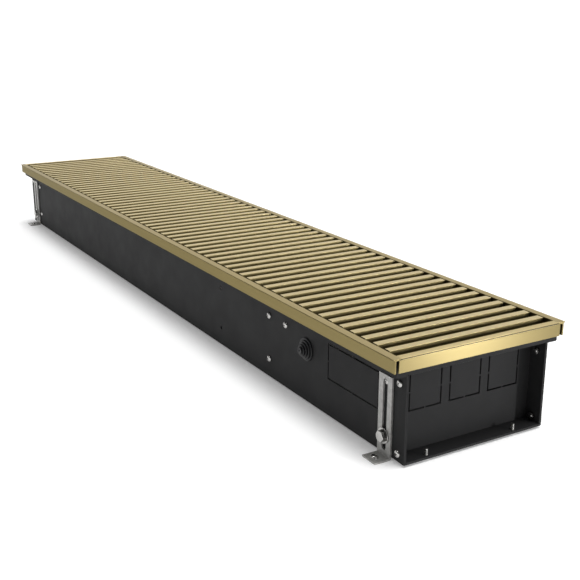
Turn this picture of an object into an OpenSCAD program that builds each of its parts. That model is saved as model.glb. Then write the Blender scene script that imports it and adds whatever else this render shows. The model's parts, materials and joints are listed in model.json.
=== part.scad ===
/* [Trough] */
// Length of the folded sheet trough
trough_l = 1492; // [1150:1:3000]
// Width of the trough over its side walls
trough_w = 218; // [200:1:420]
// Height from the trough's underside to the top of its ledge
ledge_h = 114; // [112:0.5:200]
// Sheet thickness of the trough, its end plates and cradles
sheet_t = 1.5; // [1:0.1:2]
// Overhang of the ledge past the outer face of the wall
ledge_w = 15.1; // [12:0.1:20]
// Height of the trough's underside above the floor
floor_gap = 3; // [2.6:0.1:8]
// Depth of the recess in front of each end panel
end_recess = 25; // [22:0.5:28]

/* [Knock-outs] */
// Width of each knock-out in an end panel
end_knock_w = 49.6; // [30:0.1:52]
// Height of each knock-out in an end panel
end_knock_h = 49; // [30:0.5:55]
// Spacing of the end knock-outs
end_knock_pitch = 61.2; // [56:0.1:64]
// Height of the lower edge of the end knock-outs above the trough's underside
end_knock_z = 53.6; // [50:0.1:58]
// Length of the knock-out in the front wall
side_knock_l = 112; // [60:1:116]
// Height of the knock-out in the front wall
side_knock_h = 49.5; // [30:0.5:55]
// Height of the lower edge of the side knock-out above the trough's underside
side_knock_z = 50.8; // [45:0.1:55]
// Distance from the trough's end to the side knock-out
side_knock_inset = 53; // [52:1:56]
// Width of the cut lines round a knock-out
knock_line = 2.2; // [1:0.1:3]
// Length of the tabs that hold a knock-out
knock_tab = 2; // [1:0.1:6]

/* [Frame] */
// Distance that the frame stands out past each end of the trough
frame_overhang = 4; // [3:0.1:8]
// Distance from the ledge's edge to the face of a long rail
rail_stand_off = 5.9; // [5:0.1:9]
// Height of the frame's faces
frame_h = 18; // [12:0.5:18.5]
// Thickness of the frame's top flange
flange_t = 2.5; // [1.5:0.1:3]
// Thickness of the outer legs of the rails
leg_t = 2; // [1.2:0.1:2.4]
// Thickness of the inner legs of the rails
inner_leg_t = 1.8; // [1.2:0.1:2]
// Height of the inner legs below the flange
inner_leg_h = 8.5; // [5:0.5:12]
// Thickness of the long rails' drop edge, on the grille's side of the upstand
drop_t = 1; // [0.8:0.1:1.4]
// Height of the drop edge
drop_h = 9; // [6:0.5:12]
// Reach of the thin lip past the long rails' faces
lip_w = 2; // [1:0.1:2.5]
// Width of the top flange of the end rails
end_flange_w = 9.5; // [8:0.1:12]
// Height of the shadow groove in the front of the end rails' flange
end_groove_h = 0.9; // [0.5:0.1:1]
// Depth of the shadow groove
end_groove_d = 5; // [1:0.5:6]

/* [Roll-up grille] */
// Spacing of the slats
slat_pitch = 24; // [18:0.5:30]
// Width of a slat's top
slat_w = 10.2; // [8:0.1:14]
// Height of a slat
slat_h = 22.5; // [18:0.5:26]
// Thickness of a slat's top flange
slat_top_t = 7.2; // [4:0.1:8]
// Thickness of a slat's web
slat_web_t = 3.2; // [2:0.1:4]
// Width of a slat's foot flange
slat_foot_w = 8; // [6:0.5:9]
// Thickness of a slat's foot flange
slat_foot_t = 2; // [1.5:0.1:3]
// Radius of the slat's top edges
slat_edge_r = 0.6; // [0.4:0.1:1.8]
// Clearance between a slat's end and the long rail's drop edge
slat_end_gap = 2.4; // [0.5:0.1:4]
// Thickness of the rubber strip that the grille rests on
seat_t = 1.5; // [1:0.1:3]
// Diameter of the rods that thread the slats together
rod_d = 5; // [4:0.1:6]
// Spacing of the two rods
rod_spacing = 160; // [100:1:180]
// Diameter of the spacer sleeves on the rods
spacer_d = 8.4; // [8:0.1:9]

/* [Adjustable feet] */
// Width of a foot bracket
foot_w = 26; // [24:0.5:30]
// Thickness of a foot bracket
foot_t = 2.5; // [2:0.1:3]
// Height of a foot bracket
foot_h = 105.5; // [103:0.1:108]
// Reach of the foot plate from the trough's wall
foot_reach = 24; // [22:0.5:30]
// Distance from the trough's end to the middle of the foot's slot
foot_inset = 36.5; // [36:0.1:38.5]
// Width of the vertical slot in a foot bracket
foot_slot_w = 8.6; // [8.6:0.1:9.4]
// Height of the slot's lower end above the floor
foot_slot_z = 9.4; // [8:0.1:9.8]
// Height of the slot's upper end above the floor
foot_slot_top = 100.5; // [100.5:0.1:102]
// Width of the fixing slot in the foot plate
plate_slot_w = 5.5; // [5:0.1:6]
// Length of the fixing slot in the foot plate
plate_slot_l = 13; // [10:0.5:15]
// Diameter of the foot bolts
foot_bolt_d = 8; // [7:0.1:8]
// Height of the foot bolts above the floor
foot_bolt_z = 28; // [27.5:0.1:30]
// Height of the guide screws above the floor
guide_z = 96.4; // [94:0.1:96.4]

/* [Heat exchanger] */
// Outer diameter of the copper tubes
tube_d = 15; // [12:0.5:16]
// Wall thickness of the copper tubes
tube_t = 0.8; // [0.7:0.1:1.2]
// Spacing of the two rows of tubes in height
tube_pitch_z = 35; // [32:0.5:40]
// Height of the lower tubes above the floor
tube_z = 45; // [40:0.5:46]
// Clearance between the fins and the rear wall's outer face
fin_wall_gap = 8; // [4:0.5:12]
// Height of a fin
fin_h = 72; // [66:0.5:76]
// Thickness of a fin
fin_t = 0.6; // [0.4:0.1:1]
// Spacing of the fins
fin_pitch = 10; // [8:0.5:16]
// Diameter of the pipe sockets
socket_d = 27; // [25:0.5:30]
// Length of the pipe sockets
socket_l = 30; // [24:0.5:36]
// Bore of the pipe sockets, G 1/2 thread
socket_bore_d = 18.6; // [17:0.1:20]
// Depth of the threaded bore in a pipe socket
socket_bore_l = 16; // [12:0.5:20]

/* [Fan] */
// Diameter of the cross-flow rotor
rotor_d = 60; // [50:1:62]
// Distance from the far cradle to the fan
fan_far_gap = 211; // [120:1:400]
// Thickness of a rotor blade
blade_t = 1; // [0.6:0.1:1.5]
// Radial depth of the blades
blade_depth = 9; // [6:0.5:12]
// Number of blades
blade_count = 24; // [16:1:30]
// Spacing of the rotor's discs
disc_pitch = 100; // [80:1:160]
// Thickness of the rotor's discs
disc_t = 2; // [1:0.1:3]
// Distance of the rotor's axis from the front wall's outer face
fan_inset = 51; // [49:0.5:56]
// Height of the rotor's axis above the floor
fan_z = 52; // [48:0.5:54]
// Running gap between the rotor and its scroll
fan_gap = 3.5; // [2:0.1:5]
// Thickness of the scroll's sheet
scroll_t = 1; // [0.8:0.1:1.5]
// Diameter of the rotor's shaft
shaft_d = 8; // [6:0.1:10]
// Diameter of the motor
motor_d = 54; // [46:1:60]
// Length of the motor
motor_l = 60; // [50:1:66]

/* [Cradles and wiring] */
// Distance from the near end of the trough to the near cradle's screws
near_cradle_inset = 318; // [310:1:330]
// Distance from the far end of the trough to the far cradle's screws
far_cradle_inset = 66; // [62:1:80]
// Height of the cradles above the trough's floor
cradle_h = 100; // [98:0.5:105]
// Length of the cradles' screw tabs along the wall
cradle_tab = 16; // [14:0.5:20]
// Height of the upper cradle screws above the floor
cradle_screw_top = 96; // [94:0.1:98]
// Height of the lower cradle screws above the floor
cradle_screw_low = 31; // [28:0.1:34]
// Distance from the near end of the trough to the spare holes
spare_hole_inset = 472; // [465:1:480]
// Length of the terminal box
box_l = 56; // [50:0.5:58]
// Depth of the terminal box from the wall
box_w = 40; // [36:0.5:44]
// Height of the terminal box
box_h = 46; // [40:0.5:48]
// Wall thickness of the terminal box
box_t = 2; // [1.5:0.1:3]
// Distance from the near end of the trough to the terminal box's screw
box_inset = 272; // [270:1:276]
// Height of the terminal box's screw above the floor
box_screw_z = 95.5; // [92:0.1:96]
// Distance from the near end of the trough to the cable grommet
grommet_inset = 217; // [212:1:222]
// Height of the grommet's centre above the floor
grommet_z = 78; // [70:0.5:82]
// Diameter of the grommet's flange
grommet_d = 32; // [28:0.5:36]
// Number of steps on the grommet's cone
grommet_steps = 5; // [3:1:6]
// Diameter of the motor's lead
lead_d = 6; // [5:0.1:7]

/* [Fasteners] */
// Head diameter of the sheet screws
screw_head_d = 9.5; // [8:0.1:11]
// Head height of the sheet screws
screw_head_h = 3; // [2.2:0.1:3.5]
// Shank diameter of the sheet screws
screw_d = 5; // [4:0.1:5.5]
// Width across flats of the sheet screws' nuts
nut_af = 8; // [7:0.1:9]
// Height of the sheet screws' nuts
nut_h = 4; // [3:0.1:5]
// Width across flats of the foot bolts
bolt_af = 13; // [12:0.1:14]
// Height of the foot bolts' heads
bolt_head_h = 5.3; // [4:0.1:6]
// Diameter of the foot bolts' washers
washer_d = 20; // [17:0.5:22]
// Thickness of the foot bolts' washers
washer_t = 1.6; // [1:0.1:2]

/* [Hidden] */
$fn = 48;

// Overrun of every cut past the face that it leaves
cut = 1;
// Clearance between pieces that slide or turn past each other
run_gap = 0.3;
// Clearance round a shank or tube in its hole
hole_gap = 0.2;
// Radial clearance of the shaft in its bush
bush_gap = 0.05;

gold = [0.72, 0.66, 0.46];
charcoal = [0.2, 0.2, 0.2];
zinc = [0.62, 0.62, 0.6];
steel = [0.75, 0.75, 0.73];
rubber = [0.08, 0.08, 0.08];
copper = [0.72, 0.42, 0.28];
brass = [0.78, 0.64, 0.32];
aluminium = [0.8, 0.81, 0.82];
grey = [0.42, 0.44, 0.46];

half_l = trough_l / 2;
half_w = trough_w / 2;
frame_half = half_l + frame_overhang;
wall_in = half_w - sheet_t;
trough_floor = floor_gap + sheet_t;
ledge_top = floor_gap + ledge_h;
ledge_out = half_w + ledge_w;
frame_top = ledge_top + seat_t + slat_h;
upstand_top = frame_top - flange_t - run_gap;
panel_x = half_l - end_recess;
grille_z = ledge_top + seat_t;

// Folded side of the trough: wall, ledge and upstand
module trough_side() {
    translate([half_w - sheet_t, floor_gap])
        square([sheet_t, ledge_h]);
    translate([half_w - sheet_t, ledge_top - sheet_t])
        square([ledge_w + sheet_t, sheet_t]);
    translate([ledge_out - sheet_t, ledge_top - sheet_t])
        square([sheet_t, upstand_top - ledge_top + sheet_t]);
}

module trough_section() {
    translate([-half_w, floor_gap])
        square([trough_w, sheet_t]);
    trough_side();
    mirror([1, 0])
        trough_side();
}

// Extrudes a section drawn as (y, z) along the length
module along_x(x0, x1) {
    translate([x0, 0, 0])
        rotate([90, 0, 90])
            linear_extrude(x1 - x0)
                children();
}

// The four corners and the two sides, by mirroring
module both_sides() {
    children();
    mirror([0, 1, 0])
        children();
}

module both_ends() {
    children();
    mirror([1, 0, 0])
        children();
}

// Turns +Z to the outward normal of the rear or front wall
module outward(sy) {
    rotate([-90 * sy, 0, 0])
        children();
}

// Cut lines of one knock-out, drawn flat, with a tab in the middle of each side
module knock_lines(w, h) {
    difference() {
        square([w, h], center = true);
        square([w - 2 * knock_line, h - 2 * knock_line], center = true);
        square([knock_tab, h + cut], center = true);
        square([w + cut, knock_tab], center = true);
    }
}

// The exchanger takes its width from what the fan leaves of the trough
fan_y = half_w - fan_inset;
scroll_r = rotor_d / 2 + fan_gap;
duct_share = 0.3;
spread_share = 0.568;
free_w = trough_w - fan_inset - scroll_r - fin_wall_gap;
fin_w = free_w * (1 - duct_share);
fin_y = half_w - fin_wall_gap - fin_w;
tube_pitch_y = fin_w * spread_share;
tube_y = fin_y + (fin_w + tube_pitch_y) / 2;

side_knock_x = half_l - side_knock_inset - side_knock_l / 2;
side_knock_mid = floor_gap + side_knock_z + side_knock_h / 2;
foot_x = half_l - foot_inset;
end_screw_x = half_l - end_recess / 2;
end_screw_top = foot_h - screw_head_d / 3;
end_screw_low = floor_gap + 2 * sheet_t + 4 / 5 * screw_head_d;
near_cradle_x = half_l - near_cradle_inset;
far_cradle_x = far_cradle_inset - half_l;
spare_x = half_l - spare_hole_inset;
box_x = half_l - box_inset;
grommet_x = half_l - grommet_inset;
hole_r = screw_d / 2 + hole_gap;
grommet_neck_r = grommet_d / 2 - 3 * sheet_t;

// A hole through the side walls at (x, z)
module wall_hole(x, z, r) {
    translate([x, -half_w - cut, z])
        rotate([-90, 0, 0])
            cylinder(h = trough_w + 2 * cut, r = r);
}

// A hole through one side wall only
module one_wall_hole(x, z, r) {
    translate([x, -half_w - cut, z])
        rotate([-90, 0, 0])
            cylinder(h = sheet_t + 2 * cut, r = r);
}

cradle_screws_at = [[near_cradle_x, cradle_screw_top], [near_cradle_x, cradle_screw_low],
    [far_cradle_x, cradle_screw_top], [far_cradle_x, cradle_screw_low]];
end_screws_at = [[end_screw_x, end_screw_top], [end_screw_x, end_screw_low],
    [-end_screw_x, end_screw_top], [-end_screw_x, end_screw_low]];
base_screw_front_share = 0.66;
base_screw_rear_share = 0.6;
base_screws_y = [-half_w * base_screw_front_share, half_w * base_screw_rear_share];
base_screw_depth_share = 0.24;
base_screw_x = half_l - end_recess * base_screw_depth_share;

module trough_shell() {
    color(charcoal)
        difference() {
            along_x(-half_l, half_l)
                trough_section();
            translate([side_knock_x, -wall_in + cut, side_knock_mid])
                rotate([90, 0, 0])
                    linear_extrude(sheet_t + 2 * cut)
                        knock_lines(side_knock_l, side_knock_h);
            for (p = concat(cradle_screws_at, end_screws_at))
                wall_hole(p[0], p[1], hole_r);
            for (z = [cradle_screw_top, cradle_screw_low])
                wall_hole(spare_x, z, hole_r);
            for (x = [foot_x, -foot_x]) {
                wall_hole(x, foot_bolt_z, foot_bolt_d / 2 + hole_gap);
                wall_hole(x, guide_z, hole_r);
            }
            one_wall_hole(box_x, box_screw_z, hole_r);
            one_wall_hole(grommet_x, grommet_z, grommet_neck_r + hole_gap);
            base_screw_holes();
        }
}

module base_screw_holes() {
    for (x = [base_screw_x, -base_screw_x], y = base_screws_y)
        translate([x, y, floor_gap - cut])
            cylinder(h = 2 * sheet_t + 2 * cut, r = hole_r);
}

pan_out = wall_in - run_gap;
pan_floor = trough_floor;
pan_top = ledge_top;

// End plate: recessed panel, three flanges, and the ledge and upstand of the end
module end_plate() {
    knock_mid = floor_gap + end_knock_z + end_knock_h / 2;
    difference() {
        union() {
            translate([panel_x - sheet_t, -pan_out, pan_floor])
                cube([sheet_t, 2 * pan_out, pan_top - sheet_t - pan_floor]);
            both_sides()
                translate([panel_x - sheet_t, pan_out - sheet_t, pan_floor])
                    cube([end_recess + sheet_t, sheet_t, pan_top - sheet_t - pan_floor]);
            translate([panel_x - sheet_t, -pan_out, pan_floor])
                cube([end_recess + sheet_t, 2 * pan_out, sheet_t]);
            translate([panel_x - sheet_t, -pan_out, pan_top - sheet_t])
                cube([end_recess + sheet_t, 2 * pan_out, sheet_t]);
            translate([half_l - sheet_t, sheet_t - ledge_out, pan_top])
                cube([sheet_t, 2 * (ledge_out - sheet_t), upstand_top - pan_top]);
        }
        for (y = [-end_knock_pitch, 0, end_knock_pitch])
            translate([panel_x, y, knock_mid])
                rotate([90, 0, 90])
                    linear_extrude(2 * sheet_t + 2 * cut, center = true)
                        knock_lines(end_knock_w, end_knock_h);
        for (p = end_screws_at)
            wall_hole(p[0], p[1], hole_r);
        base_screw_holes();
    }
}

module near_end_plate() {
    color(charcoal)
        end_plate();
}

module far_end_plate() {
    color(charcoal)
        mirror([1, 0, 0])
            end_plate();
}

// Long rail: top flange with a lip, an outer leg, and a leg on each side of the upstand
rail_in = ledge_out - sheet_t;
rail_edge = rail_in - run_gap - drop_t;
drop_half = half_l - sheet_t - run_gap;
rail_out = ledge_out + rail_stand_off;
rail_leg_in = ledge_out + run_gap;

module rail_section() {
    translate([rail_edge, frame_top - flange_t])
        square([rail_out - rail_edge, flange_t]);
    translate([rail_out - leg_t, frame_top - frame_h])
        square([leg_t, frame_h]);
    polygon([[rail_out - leg_t, frame_top], [rail_out + lip_w, frame_top],
        [rail_out + lip_w, frame_top - flange_t / 4], [rail_out, frame_top - flange_t],
        [rail_out - leg_t, frame_top - flange_t]]);
}

module long_rail() {
    along_x(-frame_half, frame_half)
        rail_section();
    for (leg = [[rail_edge, drop_t, drop_h], [rail_leg_in, inner_leg_t, flange_t + inner_leg_h]])
        translate([-drop_half, leg[0], frame_top - leg[2]])
            cube([2 * drop_half, leg[1], leg[2] - flange_t / 2]);
}

module rear_frame_rail() {
    color(gold)
        long_rail();
}

module front_frame_rail() {
    color(gold)
        mirror([0, 1, 0])
            long_rail();
}

// End rail: a flange between the long rails, with a shadow groove, and a face that runs on below theirs
end_groove_share = 0.44;

module end_rail() {
    face_h = frame_h - flange_t - run_gap;
    groove_top = frame_top - flange_t * end_groove_share;
    difference() {
        translate([frame_half - end_flange_w, -rail_edge, frame_top - flange_t])
            cube([end_flange_w, 2 * rail_edge, flange_t]);
        translate([frame_half - end_groove_d, -rail_edge - cut, groove_top - end_groove_h])
            cube([end_groove_d + cut, 2 * (rail_edge + cut), end_groove_h]);
    }
    translate([frame_half - leg_t, -ledge_out, frame_top - frame_h])
        cube([leg_t, 2 * ledge_out, face_h]);
    translate([frame_half - leg_t, -rail_edge, frame_top - frame_h])
        cube([leg_t, 2 * rail_edge, frame_h - flange_t]);
}

module near_frame_rail() {
    color(gold)
        end_rail();
}

module far_frame_rail() {
    color(gold)
        mirror([1, 0, 0])
            end_rail();
}

// Rubber strips on the ledges, under the ends of the slats
module grille_seat_strips() {
    strip_l = trough_l - 2 * end_recess;
    strip_w = ledge_w - 2 * sheet_t;
    color(rubber)
        both_sides()
            translate([-strip_l / 2, half_w, ledge_top])
                cube([strip_l, strip_w, seat_t]);
}

slat_half = rail_edge - slat_end_gap;
slat_reach = half_l - sheet_t - slat_w;
slat_side_count = floor(slat_reach / slat_pitch);
slat_rod_z = grille_z + (slat_h + slat_foot_t - slat_top_t) / 2;

// One slat: an I-section with rounded top edges and a hole for each rod
module slat_section() {
    translate([0, grille_z + slat_h - slat_top_t]) {
        translate([-slat_w / 2, 0])
            square([slat_w, slat_top_t - slat_edge_r]);
        translate([slat_edge_r - slat_w / 2, 0])
            square([slat_w - 2 * slat_edge_r, slat_top_t]);
        for (s = [-1, 1])
            translate([s * (slat_w / 2 - slat_edge_r), slat_top_t - slat_edge_r])
                circle(slat_edge_r);
    }
    translate([-slat_web_t / 2, grille_z])
        square([slat_web_t, slat_h - slat_top_t / 2]);
    translate([-slat_foot_w / 2, grille_z])
        square([slat_foot_w, slat_foot_t]);
}

module slat() {
    difference() {
        rotate([90, 0, 0])
            linear_extrude(2 * slat_half, center = true)
                slat_section();
        for (y = [-rod_spacing / 2, rod_spacing / 2])
            translate([-slat_w, y, slat_rod_z])
                rotate([0, 90, 0])
                    cylinder(h = 2 * slat_w, r = rod_d / 2 + hole_gap);
    }
}

module grille_slats() {
    color(gold)
        for (i = [-slat_side_count : slat_side_count])
            translate([i * slat_pitch, 0, 0])
                slat();
}

last_slat = slat_side_count * slat_pitch;
rod_end = last_slat + slat_web_t / 2 + nut_h;

module grille_rods() {
    color(steel)
        for (y = [-rod_spacing / 2, rod_spacing / 2])
            translate([-rod_end, y, slat_rod_z])
                rotate([0, 90, 0])
                    cylinder(h = 2 * rod_end, r = rod_d / 2);
}

// Sleeves between the webs of neighbouring slats
module grille_spacers() {
    sleeve_l = slat_pitch - slat_web_t - 2 * hole_gap;
    color(rubber)
        for (i = [-slat_side_count : slat_side_count - 1], y = [-rod_spacing / 2, rod_spacing / 2])
            translate([i * slat_pitch + slat_web_t / 2 + hole_gap, y, slat_rod_z])
                rotate([0, 90, 0])
                    difference() {
                        cylinder(h = sleeve_l, r = spacer_d / 2);
                        translate([0, 0, -cut])
                            cylinder(h = sleeve_l + 2 * cut, r = rod_d / 2 + hole_gap);
                    }
}

module hex_prism(af, h) {
    cylinder(h = h, r = af / sqrt(3), $fn = 6);
}

module grille_rod_nuts() {
    color(steel)
        both_ends()
            for (y = [-rod_spacing / 2, rod_spacing / 2])
                translate([last_slat + slat_web_t / 2, y, slat_rod_z])
                    rotate([0, 90, 0])
                        difference() {
                            hex_prism(nut_af, nut_h);
                            translate([0, 0, -cut])
                                cylinder(h = nut_h + 2 * cut, r = rod_d / 2);
                        }
}

foot_y = half_w + run_gap;
plate_screw_share = 0.52;
plate_screw_y = foot_y + foot_t + foot_reach * plate_screw_share;

// Slotted angle: upright against the wall, plate on the floor
module foot() {
    difference() {
        union() {
            translate([foot_x - foot_w / 2, foot_y, 0])
                cube([foot_w, foot_t, foot_h]);
            translate([foot_x - foot_w / 2, foot_y, 0])
                cube([foot_w, foot_reach, foot_t]);
        }
        translate([foot_x, foot_y - cut, 0])
            rotate([-90, 0, 0])
                linear_extrude(foot_t + 2 * cut) {
                    for (z = [foot_slot_z + foot_slot_w / 2, foot_slot_top - foot_slot_w / 2])
                        translate([0, -z])
                            circle(foot_slot_w / 2);
                    translate([-foot_slot_w / 2, foot_slot_w / 2 - foot_slot_top])
                        square([foot_slot_w, foot_slot_top - foot_slot_z - foot_slot_w]);
                }
        translate([foot_x, plate_screw_y, -cut])
            linear_extrude(foot_t + 2 * cut) {
                plate_slot_mid = (plate_slot_l - plate_slot_w) / 2;
                for (x = [-plate_slot_mid, plate_slot_mid])
                    translate([x, 0])
                        circle(plate_slot_w / 2);
                square([2 * plate_slot_mid, plate_slot_w], center = true);
            }
    }
}

// Pan-head screw with its seat at the origin and its head towards +Z
module pan_screw(head_d, head_h, shank_d, shank_l) {
    dome_r = (head_d * head_d / 4 + head_h * head_h) / (2 * head_h);
    intersection() {
        cylinder(h = head_h, r = head_d / 2);
        translate([0, 0, head_h - dome_r])
            sphere(dome_r);
    }
    translate([0, 0, -shank_l])
        cylinder(h = shank_l + head_h / 4, r = shank_d / 2);
}

// Short screw in the slot of the foot plate, flush with its underside
module plate_screw() {
    plate_screw_d = plate_slot_w - 2 * hole_gap;
    translate([foot_x + (plate_slot_w - plate_slot_l) / 2 + screw_d / 2, plate_screw_y, foot_t])
        pan_screw(screw_head_d, screw_head_h, plate_screw_d, foot_t);
}

module near_front_foot() {
    color(zinc)
        mirror([0, 1, 0])
            foot();
}

module near_rear_foot() {
    color(zinc)
        foot();
}

module far_front_foot() {
    color(zinc)
        mirror([1, 0, 0])
            mirror([0, 1, 0])
                foot();
}

module far_rear_foot() {
    color(zinc)
        mirror([1, 0, 0])
            foot();
}

module near_front_plate_screw() {
    color(steel)
        mirror([0, 1, 0])
            plate_screw();
}

module near_rear_plate_screw() {
    color(steel)
        plate_screw();
}

module far_front_plate_screw() {
    color(steel)
        mirror([1, 0, 0])
            mirror([0, 1, 0])
                plate_screw();
}

module far_rear_plate_screw() {
    color(steel)
        mirror([1, 0, 0])
            plate_screw();
}

washer_y = foot_y + foot_t + run_gap;
nut_height_share = 0.8;
weld_nut_h = foot_bolt_d * nut_height_share;

// Hexagon bolt through the washer, the slot, the wall and the weld nut
module foot_bolts() {
    head_y = washer_y + washer_t;
    shank_l = head_y - wall_in + weld_nut_h + sheet_t;
    color(steel)
        both_ends()
            both_sides()
                translate([foot_x, head_y, foot_bolt_z])
                    outward(1) {
                        hex_prism(bolt_af, bolt_head_h);
                        translate([0, 0, -shank_l])
                            cylinder(h = shank_l + bolt_head_h / 2, r = foot_bolt_d / 2);
                    }
}

module foot_washers() {
    color(steel)
        both_ends()
            both_sides()
                translate([foot_x, washer_y, foot_bolt_z])
                    outward(1)
                        difference() {
                            cylinder(h = washer_t, r = washer_d / 2);
                            translate([0, 0, -cut])
                                cylinder(h = washer_t + 2 * cut, r = foot_bolt_d / 2 + hole_gap);
                        }
}

module foot_weld_nuts() {
    color(zinc)
        both_ends()
            both_sides()
                translate([foot_x, wall_in - weld_nut_h, foot_bolt_z])
                    outward(1)
                        difference() {
                            hex_prism(bolt_af, weld_nut_h);
                            translate([0, 0, -cut])
                                cylinder(h = weld_nut_h + 2 * cut, r = foot_bolt_d / 2);
                        }
}

// Small screws whose heads ride in the upper end of the feet's slots
module foot_guide_screws() {
    guide_head_d = foot_slot_w - 4 * run_gap;
    color(steel)
        both_ends()
            both_sides()
                translate([foot_x, half_w, guide_z])
                    outward(1)
                        pan_screw(guide_head_d, foot_t, screw_d, 2 * sheet_t);
}

// A pan-head screw in the rear wall, passing through two sheets
module wall_screw(x, z, grip) {
    translate([x, half_w, z])
        outward(1)
            pan_screw(screw_head_d, screw_head_h, screw_d, grip + nut_h + sheet_t);
}

// A nut on the inside of the rear wall, its face at y
module wall_nut(x, z, y) {
    translate([x, y - nut_h, z])
        outward(1)
            difference() {
                hex_prism(nut_af, nut_h);
                translate([0, 0, -cut])
                    cylinder(h = nut_h + 2 * cut, r = screw_d / 2);
            }
}

module end_plate_screws() {
    color(steel)
        both_sides()
            for (p = end_screws_at)
                wall_screw(p[0], p[1], 2 * sheet_t + run_gap);
}

module end_plate_nuts() {
    color(steel)
        both_sides()
            for (p = end_screws_at)
                wall_nut(p[0], p[1], pan_out - sheet_t);
}

// Screws from below through the trough's floor and the end plates' lower flanges
module base_screws() {
    base_head_h = floor_gap - 2 * run_gap;
    tip_l = 2 * sheet_t + 2 * nut_h;
    color(steel)
        for (x = [base_screw_x, -base_screw_x], y = base_screws_y)
            translate([x, y, floor_gap])
                mirror([0, 0, 1])
                    pan_screw(screw_head_d, base_head_h, screw_d, tip_l);
}

tube_y_in = tube_y - tube_pitch_y;
tube_z_top = tube_z + tube_pitch_z;
tubes_at = [[tube_y, tube_z], [tube_y, tube_z_top], [tube_y_in, tube_z_top], [tube_y_in, tube_z]];
tube_r = tube_d / 2;
near_panel_x = near_cradle_x - cradle_tab / 2;
far_panel_x = far_cradle_x + cradle_tab / 2;
tube_stub = tube_d;

module tube_bores(x, r, depth) {
    for (p = tubes_at)
        translate([x - cut, p[0], p[1]])
            rotate([0, 90, 0])
                cylinder(h = depth + 2 * cut, r = r);
}

lead_y = fan_y + motor_d / 3;
lead_z = fan_z + motor_d / 5;

// Cradle at the near end, its panel at x = 0 and its tabs towards +X
module cradle(lead_hole) {
    difference() {
        union() {
            translate([0, -wall_in + run_gap, trough_floor])
                cube([sheet_t, 2 * (wall_in - run_gap), cradle_h]);
            both_sides()
                translate([0, wall_in - run_gap - sheet_t, trough_floor])
                    cube([cradle_tab, sheet_t, cradle_h]);
            translate([0, run_gap - wall_in, trough_floor])
                cube([cradle_tab, 2 * (wall_in - run_gap), sheet_t]);
        }
        tube_bores(0, tube_r + run_gap, sheet_t);
        for (z = [cradle_screw_top, cradle_screw_low])
            wall_hole(cradle_tab / 2, z, hole_r);
        translate([-cut, -fan_y, fan_z])
            rotate([0, 90, 0])
                cylinder(h = sheet_t + 2 * cut, r = motor_d / 4);
        if (lead_hole)
            translate([-cut, -lead_y, lead_z])
                rotate([0, 90, 0])
                    cylinder(h = sheet_t + 2 * cut, r = lead_d);
    }
}

module near_cradle() {
    color(zinc)
        translate([near_panel_x, 0, 0])
            cradle(true);
}

module far_cradle() {
    color(zinc)
        translate([far_panel_x, 0, 0])
            mirror([1, 0, 0])
                cradle(false);
}

module cradle_screws() {
    color(steel)
        both_sides()
            for (p = cradle_screws_at)
                wall_screw(p[0], p[1], 2 * sheet_t + run_gap);
}

module cradle_nuts() {
    color(steel)
        both_sides()
            for (p = cradle_screws_at)
                wall_nut(p[0], p[1], wall_in - run_gap - sheet_t);
}

fin_z = tube_z + tube_pitch_z / 2 - fin_h / 2;
fins_x0 = far_panel_x + fin_pitch;
fins_x1 = near_panel_x - fin_pitch;
fin_count = floor((fins_x1 - fins_x0) / fin_pitch) - 1;

module fin_plate(x, t) {
    difference() {
        translate([x, fin_y, fin_z])
            cube([t, fin_w, fin_h]);
        tube_bores(x, tube_r + hole_gap / 2, t);
    }
}

module exchanger_fins() {
    color(aluminium)
        for (i = [1 : fin_count])
            fin_plate(fins_x0 + i * fin_pitch, fin_t);
}

module exchanger_side_plates() {
    color(zinc) {
        fin_plate(far_panel_x + run_gap, sheet_t);
        fin_plate(near_panel_x - run_gap - sheet_t, sheet_t);
    }
}

tube_x0 = far_panel_x - tube_stub;
tube_x1 = near_panel_x + tube_stub;

module exchanger_tubes() {
    color(copper)
        for (p = tubes_at)
            translate([tube_x0, p[0], p[1]])
                rotate([0, 90, 0])
                    difference() {
                        cylinder(h = tube_x1 - tube_x0, r = tube_r);
                        translate([0, 0, -cut])
                            cylinder(h = tube_x1 - tube_x0 + 2 * cut, r = tube_r - tube_t);
                    }
}

// Half-round return bend in the XY plane, its legs pointing to -X
module return_bend(pitch) {
    rotate([0, 0, -90])
        rotate_extrude(angle = 180)
            translate([pitch / 2, 0])
                difference() {
                    circle(tube_r);
                    circle(tube_r - tube_t);
                }
}

module exchanger_far_bends() {
    color(copper)
        for (y = [tube_y, tube_y_in])
            translate([tube_x0, y, tube_z + tube_pitch_z / 2])
                rotate([90, 0, 180])
                    return_bend(tube_pitch_z);
}

module exchanger_near_bend() {
    color(copper)
        translate([tube_x1, tube_y - tube_pitch_y / 2, tube_z_top])
            return_bend(tube_pitch_y);
}

// Pipe socket over the end of a lower tube, with a threaded bore towards the end of the trough
module pipe_socket(y) {
    sleeve = tube_stub / 2;
    translate([tube_x1 - sleeve, y, tube_z])
        rotate([0, 90, 0])
            difference() {
                union() {
                    cylinder(h = socket_l, r = socket_d / 2 - tube_t);
                    translate([0, 0, sleeve])
                        hex_prism(socket_d, socket_l - sleeve);
                }
                translate([0, 0, -cut])
                    cylinder(h = sleeve + cut, r = tube_r + hole_gap / 2);
                cylinder(h = socket_l, r = tube_r - tube_t);
                translate([0, 0, socket_l - socket_bore_l])
                    cylinder(h = socket_bore_l + cut, r = socket_bore_d / 2);
            }
}

module supply_socket() {
    color(brass)
        pipe_socket(tube_y);
}

module return_socket() {
    color(brass)
        pipe_socket(tube_y_in);
}

vent_x = tube_x1 + tube_pitch_y / 2;
vent_y = tube_y - tube_pitch_y / 2;
vent_share = 0.8;
vent_r = tube_r * vent_share;
vent_h = 2 * tube_r;
vent_screw_r = vent_r / 2;
vent_seat_share = 0.9;
vent_z = tube_z_top + tube_r * vent_seat_share;

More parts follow.
